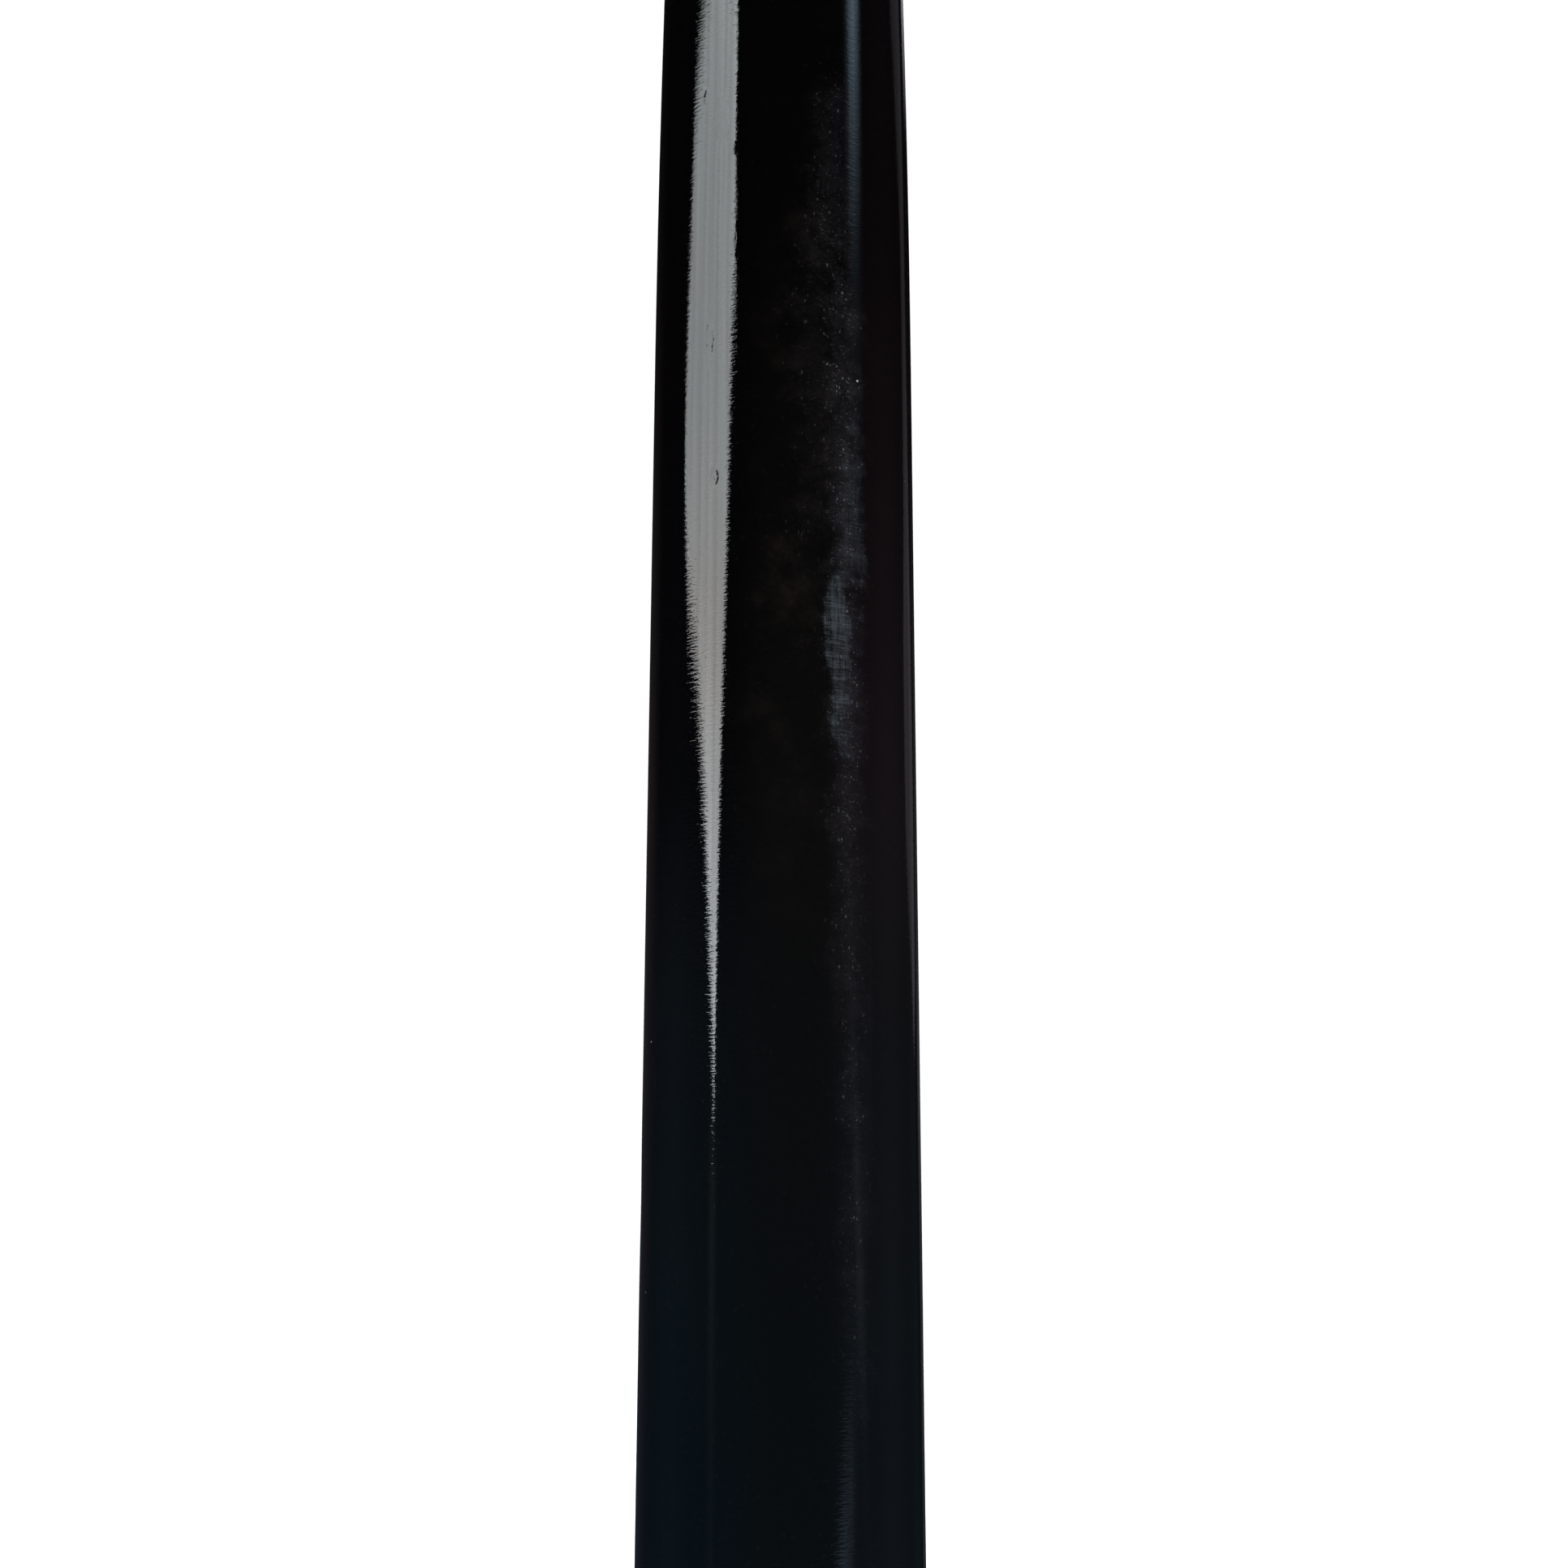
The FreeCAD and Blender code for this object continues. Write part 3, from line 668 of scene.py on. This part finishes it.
def wound(angle, height, radius):
    """Radial offset of the wrap's outside: an overlap's ridge, a soft crown and air holes."""
    inside = tube_radius(height) + BACKING
    share = min(1.0, (radius - inside) / WRAP_THICK)
    if share < 0.2:
        return 0.0
    along, across = strip_place(angle, height, 2 * math.pi * radius)
    edge = smooth(across, 0.0, 1.0 * MM)
    doubled = 1.0 - smooth(across, STRIP_OVERLAP - 0.6 * MM, STRIP_OVERLAP + 2.6 * MM)
    crown = math.sin(math.pi * across / STRIP_PITCH)
    tucked = smooth(across, STRIP_PITCH - 1.4 * MM, STRIP_PITCH)
    relief = MM * (-SUNK + RIDGE * edge * doubled + CROWN * crown - EDGE_DIP * (1.0 - edge)
                   - TUCK * tucked)
    relief += LEATHER_UNEVENNESS * noise.noise(Vector((along * 160.0, across * 220.0, 0.0)))
    under_band = smooth(height, BAND_HIGH, BAND_HIGH + 2.0 * MM)
    relief = min(relief, 0.0) + under_band * max(relief, 0.0)
    return share * (relief - hole_depth(along, across))


def make_wrap():
    """Synthetic leather strip wound round the handle from the knob, each turn over the last."""
    lip = 0.4 * MM

    def at(height, share):
        return (tube_radius(height) + BACKING + share * WRAP_THICK, height)

    outline = [at(WRAP_LOW, 0.5), at(WRAP_LOW, 0.85), at(WRAP_LOW + 0.3 * lip, 0.95)]
    outline += [at(z, 1.0) for z in spaced(WRAP_LOW + lip, WRAP_HIGH - lip, WRAP_STEP)]
    outline += [at(WRAP_HIGH - 0.3 * lip, 0.95), at(WRAP_HIGH, 0.85), at(WRAP_HIGH, 0.5)]
    outline += reversed([at(z, 0.0) for z in spaced(WRAP_LOW, WRAP_HIGH, 10.0 * MM)])
    stand_for(lathe("wound_grip_strip", outline, WRAP_FACETS, wound), "grip_wrap")


TAPE = 0.3 * MM
TAPE_END, TAPE_CREASE = 0.12 * MM, 0.035 * MM
TAPE_SLANT = 22.0
BAND_FACETS, BAND_STEP = 260, 0.4 * MM


def taped(angle, height, radius):
    """Radial offset of the band's outside: the tape's cut end and slight stretch wrinkles."""
    if radius < tube_radius(height) + 0.2 * MM:
        return 0.0
    slant = (height - BAND_LOW) * TAPE_SLANT
    turn = (angle + slant) % (2 * math.pi)
    end_step = TAPE_END * (smooth(turn, 0.0, 0.03) - smooth(turn, 0.03, 2 * math.pi))
    crease = noise.noise(Vector((9.0 * math.sin(angle), 9.0 * math.cos(angle), height * 260.0)))
    climbing = smooth(height, BAND_LOW, BAND_LOW + 3.0 * MM)
    return climbing * (end_step - TAPE_END + TAPE_CREASE * crease)


def make_band():
    """Stretch tape that holds the strip's end: it starts on bare tube and climbs onto it."""
    over = BACKING + WRAP_THICK + TAPE
    outline = [(tube_radius(BAND_LOW), BAND_LOW), (tube_radius(BAND_LOW) + TAPE, BAND_LOW)]
    for z in spaced(BAND_LOW + TAPE, BAND_HIGH, BAND_STEP):
        climb = smooth(z, BAND_LOW + TAPE, WRAP_LOW + 0.5 * MM)
        straight = min(1.0, (z - BAND_LOW - TAPE) / (WRAP_LOW - BAND_LOW - TAPE))
        outline.append((tube_radius(z) + TAPE + (over - TAPE) * (climb + straight) / 2, z))
    outline += [
        (tube_radius(BAND_HIGH) + over - TAPE, BAND_HIGH),
        (tube_radius(WRAP_LOW) + over - TAPE, WRAP_LOW),
        (tube_radius(WRAP_LOW), WRAP_LOW),
    ]
    stand_for(lathe("grip_finish_band", outline, BAND_FACETS, taped), "grip_finish_tape")


make_tube()
make_knob()
make_wrap()
make_band()


# ---------------------------------------------------------------- light

CARD_DISTANCE = 2.0


def light_card(name, azimuth, outline, paint):
    """A glowing card that only mirrors see, on a circle round the bat.

    Azimuth is the card's middle, measured left from the camera's side. The outline's points
    are (metres left along the card, metres above the floor). paint(tree, side, height)
    returns the glow's colour and strength.
    """
    turn = math.radians(azimuth)
    out = Vector((-math.sin(turn), -math.cos(turn), 0.0))
    left = Vector((-math.cos(turn), math.sin(turn), 0.0))
    mesh = bpy.data.meshes.new(name)
    points = [(side, height, 0.0) for side, height in outline]
    mesh.from_pydata(points, [], [tuple(range(len(points)))])
    card = link(name, mesh)
    card.matrix_world = Matrix.Translation(out * CARD_DISTANCE) @ Matrix((
        (left.x, 0.0, out.x, 0.0), (left.y, 0.0, out.y, 0.0),
        (0.0, 1.0, 0.0, 0.0), (0.0, 0.0, 0.0, 1.0),
    ))
    material = bpy.data.materials.new(name + "_glow")
    material.use_nodes = True
    tree = material.node_tree
    tree.nodes.clear()
    axes = split_axes(tree, object_place(tree))
    colour, strength = paint(tree, axes["X"], axes["Y"])
    glow = add_node(tree, "ShaderNodeEmission", {"Color": colour, "Strength": strength})
    clear = add_node(tree, "ShaderNodeBsdfTransparent")
    both = add_node(tree, "ShaderNodeAddShader", {0: glow.outputs[0], 1: clear.outputs[0]})
    add_node(tree, "ShaderNodeOutputMaterial", {"Surface": both.outputs[0]})
    mesh.materials.append(material)
    card.visible_camera = False
    card.visible_diffuse = False
    card.visible_transmission = False
    card.visible_shadow = False


def height_ramp(tree, height, stops):
    """Grey strength that follows the height through (height, strength) stops."""
    low, high = stops[0][0], stops[-1][0]
    top = max(strength for _, strength in stops)
    share = map_range(tree, height, low, high, smooth=False)
    levels = [((level - low) / (high - low), grey(strength / top)) for level, strength in stops]
    return times(tree, colour_ramp(tree, share, levels), top)


def fibres(tree, side, height, scale, low, high):
    """Uneven glow, stretched by its (across, up) scale, as through a creased curtain."""
    flat = add_node(tree, "ShaderNodeCombineXYZ", {"X": side, "Y": height}).outputs[0]
    folds = stretched_noise(tree, flat, scale + (1.0,), 3.0, 0.6)
    return map_range(tree, folds, 0.36, 0.64, low, high, smooth=False)


def window_paint(tree, side, height):
    """Bright sky through a curtain: lengthwise folds, and brighter near the sill."""
    level = height_ramp(tree, height, [
        (0.28, 11.0), (0.45, 9.4), (0.55, 8.4), (0.72, 6.9), (0.90, 5.1), (1.20, 4.3),
        (1.60, 4.2), (2.00, 4.6)])
    folds = fibres(tree, side, height, (7.5, 0.8), 0.84, 1.18)
    weave = times(tree, fibres(tree, side, height, (9.0, 110.0), 0.86, 1.14),
                  fibres(tree, side, height, (5.0, 13.0), 0.92, 1.08))
    sideways = map_range(tree, side, -0.95, 0.95, 0.34, -0.25, smooth=False)
    brighter = times(tree, sideways, map_range(tree, height, 0.86, 1.10))
    folds = times(tree, folds, plus(tree, brighter, 1.0))
    folds = times(tree, folds, weave)
    warm = times(tree, map_range(tree, height, 1.15, 0.90),
                 map_range(tree, height, 0.62, 0.80))
    colour = mix_colour(tree, warm, (0.92, 0.985, 1.0, 1), (1.0, 0.985, 0.965, 1))
    return colour, times(tree, level, folds)


# The window's outline goes down its right edge to the tip, then up its left edge.
WINDOW = [
    (-1.00, 2.00), (-0.97, 1.62), (-1.10, 1.51), (-0.92, 1.38), (-0.80, 1.12), (-0.64, 0.80),
    (-0.54, 0.55), (-0.51, 0.38),
    (-0.49, 0.36),
    (-0.45, 0.40), (-0.33, 0.49), (-0.10, 0.65), (0.24, 0.82), (0.70, 0.97), (0.94, 1.15),
    (0.84, 1.35), (0.73, 1.50), (0.68, 1.64), (0.34, 1.76), (0.04, 1.86), (-0.04, 1.95),
]
light_card("window_card", 70.0, WINDOW, window_paint)


def glow_band(tree, side, height, slope, offset, half, stops):
    """A soft-edged band that leans by slope and has its own strength at each height."""
    centre = plus(tree, times(tree, height, slope), offset)
    apart = math_node(tree, "ABSOLUTE", minus(tree, side, centre))
    edge = math_node(tree, "POWER", map_range(tree, apart, half, 0.0), 2.0)
    return times(tree, edge, height_ramp(tree, height, stops))


def faint_line_paint(tree, side, height):
    stops = [(-0.4, 0.01), (0.0, 0.04), (0.12, 0.09), (0.3, 0.12)]
    level = glow_band(tree, side, height, slope=0.12, offset=0.0, half=0.24, stops=stops)
    return (0.8, 0.95, 1.0, 1), level


FAINT_LINE = [(-0.2, -0.4), (0.2, -0.4), (0.2, 0.3), (-0.2, 0.3)]
light_card("lower_line_card", 56.0, FAINT_LINE, faint_line_paint)


def streak_paint(tree, side, height):
    """Narrow bluish gap of light on the right, brightest at its top."""
    upper = glow_band(tree, side, height, slope=-0.10, offset=0.19, half=0.46, stops=[
        (0.90, 0.0), (1.20, 0.06), (1.33, 0.11), (1.42, 0.25), (1.48, 0.62), (1.55, 0.82),
        (1.64, 1.30), (1.72, 1.90), (2.00, 2.30)])
    lower = glow_band(tree, side, height, slope=0.75, offset=-0.02, half=0.24, stops=[
        (-0.05, 0.02), (0.08, 0.15), (0.30, 0.12), (0.48, 0.02)])
    foot = glow_band(tree, side, height, slope=-1.6, offset=0.34, half=0.42, stops=[
        (-0.4, 0.75), (-0.15, 0.50), (-0.05, 0.16), (0.06, 0.03)])
    folds = fibres(tree, side, height, (9.0, 2.0), 0.72, 1.2)
    return (0.60, 0.84, 1.05, 1), times(tree, total(tree, [upper, lower, foot]), folds)


STREAK = [(1.5, -0.4), (-0.4, -0.4), (-0.4, 2.0), (0.6, 2.0), (0.9, 0.4)]
light_card("streak_card", -68.0, STREAK, streak_paint)


def rim_paint(tree, side, height):
    level = height_ramp(tree, height, [(0.3, 0.11), (0.9, 0.115), (1.3, 0.07), (1.7, 0.085)])
    folds = fibres(tree, side, height, (16.0, 0.8), 0.45, 1.45)
    return (0.97, 0.88, 1.02, 1), times(tree, level, folds)


RIM = [
    (-0.10, 0.38), (0.07, 0.50), (0.24, 0.56), (0.40, 0.66), (0.42, 0.85), (0.25, 1.05),
    (0.24, 1.40), (0.44, 1.59), (0.75, 1.95),
    (-0.10, 1.95), (-0.10, 1.50), (-0.10, 1.26), (-0.21, 0.95), (-0.29, 0.75), (-0.30, 0.47),
]
light_card("rim_card", -140.0, RIM, rim_paint)


def edge_paint(tree, side, height):
    return (0.92, 0.88, 1.0, 1), height_ramp(tree, height, [
        (-0.3, 0.03), (0.2, 0.04), (0.33, 0.08), (0.5, 0.03), (1.05, 0.01), (1.10, 0.0),
        (1.54, 0.0), (1.62, 0.14), (1.72, 0.40), (2.0, 0.50)])


EDGE = [(0.24, -0.3), (-0.24, -0.3), (-0.24, 2.0), (0.24, 2.0)]
light_card("edge_card", -160.0, EDGE, edge_paint)


# Strip lights for the sides that the main camera doesn't see. Each is either behind the bat,
# where only its last hair's breadth of edge can mirror it, or below all that camera mirrors.
STRIP_FLOOR, STRIP_CEILING = -3.0, 3.0
LOW_STRIP_TOP = -0.32
FADE_OUT = 0.35
BACK_STRIP_HALF, LOW_STRIP_HALF = 0.22, 0.30
STRIP_GLOW = 3.6


def softbox_paint(tree, side, height):
    """Soft strip light with faded sides."""
    edge = map_range(tree, math_node(tree, "ABSOLUTE", side), 0.30, 0.16)
    return (0.98, 0.99, 1.0, 1), times(tree, edge, STRIP_GLOW)


def low_softbox_paint(tree, side, height):
    """The same, faded out upward too, so that no ripple of the main view mirrors its end."""
    colour, strength = softbox_paint(tree, side, height)
    top = map_range(tree, height, LOW_STRIP_TOP, LOW_STRIP_TOP - FADE_OUT)
    return colour, times(tree, strength, top)


def strip_light(name, azimuth, half, high, paint):
    outline = [(-half, STRIP_FLOOR), (half, STRIP_FLOOR), (half, high), (-half, high)]
    light_card(name, azimuth, outline, paint)


strip_light("back_strip", 180.0, BACK_STRIP_HALF, STRIP_CEILING, softbox_paint)
for strip_name, strip_azimuth in (("left", 82.0), ("front", -4.0), ("right", -118.0)):
    strip_light("low_strip_" + strip_name, strip_azimuth, LOW_STRIP_HALF, LOW_STRIP_TOP,
                low_softbox_paint)


FLOOR_REACH = 30.0


def make_floor():
    mesh = bpy.data.meshes.new("pale_floor")
    sides = [(-1, -1), (1, -1), (1, 1), (-1, 1)]
    corners = [(FLOOR_REACH * x, FLOOR_REACH * y, 0) for x, y in sides]
    mesh.from_pydata(corners, [], [(0, 1, 2, 3)])
    floor = link("pale_floor", mesh)
    material, tree, shader = new_material("pale_floor_paint")
    speck = noise_node(tree, object_place(tree), 3.0, 4.0, 0.5)
    plug(tree, shader, Base_Color=mix_colour(tree, speck, grey(0.93), grey(0.95)))
    plug(tree, shader, Roughness=0.9, Emission_Color=grey(1.0), Emission_Strength=0.30)
    mesh.materials.append(material)
    floor.visible_glossy = False


# What mirrors see of the room, from straight below (0) to straight above (1).
ROOM_STOPS = [
    (0.10, (0.34, 0.35, 0.36, 1)), (0.40, (0.12, 0.14, 0.16, 1)),
    (0.448, (0.054, 0.088, 0.116, 1)), (0.50, (0.062, 0.088, 0.106, 1)),
    (0.55, (0.068, 0.078, 0.094, 1)), (0.61, (0.076, 0.075, 0.075, 1)),
    (0.67, (0.046, 0.044, 0.044, 1)), (0.71, (0.031, 0.029, 0.029, 1)),
    (0.74, (0.020, 0.018, 0.018, 1)), (0.80, (0.016, 0.016, 0.016, 1)),
]
ROOM_WHITE, BACKDROP_WHITE = grey(0.95), grey(1.05)


def room_tint(tree, axes):
    """Purplish on the right; bluish on the left, but dim high up and pinkish behind there."""
    above = map_range(tree, axes["Z"], 0.12, 0.26)
    left_tint = mix_colour(tree, above, (0.85, 1.15, 1.35, 1), (0.34, 0.37, 0.52, 1))
    behind = map_range(tree, axes["Y"], 0.55, 0.82)
    left_tint = mix_colour(tree, behind, left_tint, (1.25, 0.90, 1.10, 1))
    right_tint = mix_colour(tree, above, (1.35, 1.28, 1.38, 1), (1.75, 1.35, 1.7, 1))
    tint = mix_colour(tree, map_range(tree, axes["X"], 0.0, -0.85), grey(1.0), left_tint)
    return mix_colour(tree, map_range(tree, axes["X"], 0.45, 0.92), tint, right_tint)


def room_dimming(tree, axes):
    """Share of the room's light: less behind the bat, and least just right of there."""
    back = map_range(tree, axes["Y"], 0.0, 0.70, 1.0, 0.36)
    edgewise = times(tree, map_range(tree, axes["X"], 0.0, 0.25),
                     map_range(tree, axes["Y"], 0.74, 0.90, 0.0, 0.6))
    return times(tree, back, minus(tree, 1.0, edgewise))


def make_world():
    """White for the camera, soft white light for matt surfaces, a dim room for mirrors."""
    world = bpy.data.worlds.new("soft_studio")
    bpy.context.scene.world = world
    world.use_nodes = True
    tree = world.node_tree
    tree.nodes.clear()
    paths = add_node(tree, "ShaderNodeLightPath")
    axes = split_axes(tree, add_node(tree, "ShaderNodeTexCoord").outputs["Generated"])
    level = map_range(tree, axes["Z"], -1.0, 1.0, smooth=False)
    tint = mix_colour(tree, room_dimming(tree, axes), grey(0.0), room_tint(tree, axes))
    mirrored = add_node(tree, "ShaderNodeVectorMath", {
        0: colour_ramp(tree, level, ROOM_STOPS), 1: tint}, operation="MULTIPLY").outputs[0]
    room = mix_colour(tree, paths.outputs["Is Glossy Ray"], ROOM_WHITE, mirrored)
    seen = mix_colour(tree, paths.outputs["Is Camera Ray"], room, BACKDROP_WHITE)
    background = add_node(tree, "ShaderNodeBackground", {"Color": seen, "Strength": 1.0})
    add_node(tree, "ShaderNodeOutputWorld", {"Surface": background.outputs[0]})


def area_light(name, place, target, side, power):
    """A square lamp that lights matt surfaces and that neither mirrors nor the camera see."""
    data = bpy.data.lights.new(name, "AREA")
    data.shape = "RECTANGLE"
    data.size = data.size_y = side
    data.energy = power
    lamp = bpy.data.objects.new(name, data)
    bpy.context.scene.collection.objects.link(lamp)
    lamp.location = place
    aim = Vector(target) - Vector(place)
    lamp.rotation_mode = "QUATERNION"
    lamp.rotation_quaternion = aim.to_track_quat("-Z", "Y")
    lamp.visible_glossy = False
    lamp.visible_camera = False


MID_BAT = (0, 0, 0.4)
make_floor()
make_world()
area_light("key_softbox", (-1.8, -1.6, 2.2), MID_BAT, side=1.2, power=60)
area_light("fill_softbox", (2.2, -0.8, 1.6), MID_BAT, side=1.6, power=16)


# ---------------------------------------------------------------- camera

LENS = 50.0
SENSOR = 36.0
CAMERA_DISTANCE = 0.4512
CAMERA_HEIGHT = 0.099
CAMERA_PITCH = 13.69
CAMERA_YAW = -0.053
CAMERA_ROLL = 0.115


def make_camera():
    data = bpy.data.cameras.new("camera")
    data.lens = LENS
    data.sensor_width = SENSOR
    data.clip_start = 0.01
    camera = bpy.data.objects.new("camera", data)
    bpy.context.scene.collection.objects.link(camera)
    turn = (
        Matrix.Rotation(math.radians(CAMERA_YAW), 4, "Z")
        @ Matrix.Rotation(math.radians(90.0 + CAMERA_PITCH), 4, "X")
        @ Matrix.Rotation(math.radians(CAMERA_ROLL), 4, "Z")
    )
    camera.matrix_world = Matrix.Translation((0.0, -CAMERA_DISTANCE, CAMERA_HEIGHT)) @ turn
    bpy.context.scene.camera = camera


make_camera()
bpy.context.scene.view_settings.view_transform = "Standard"
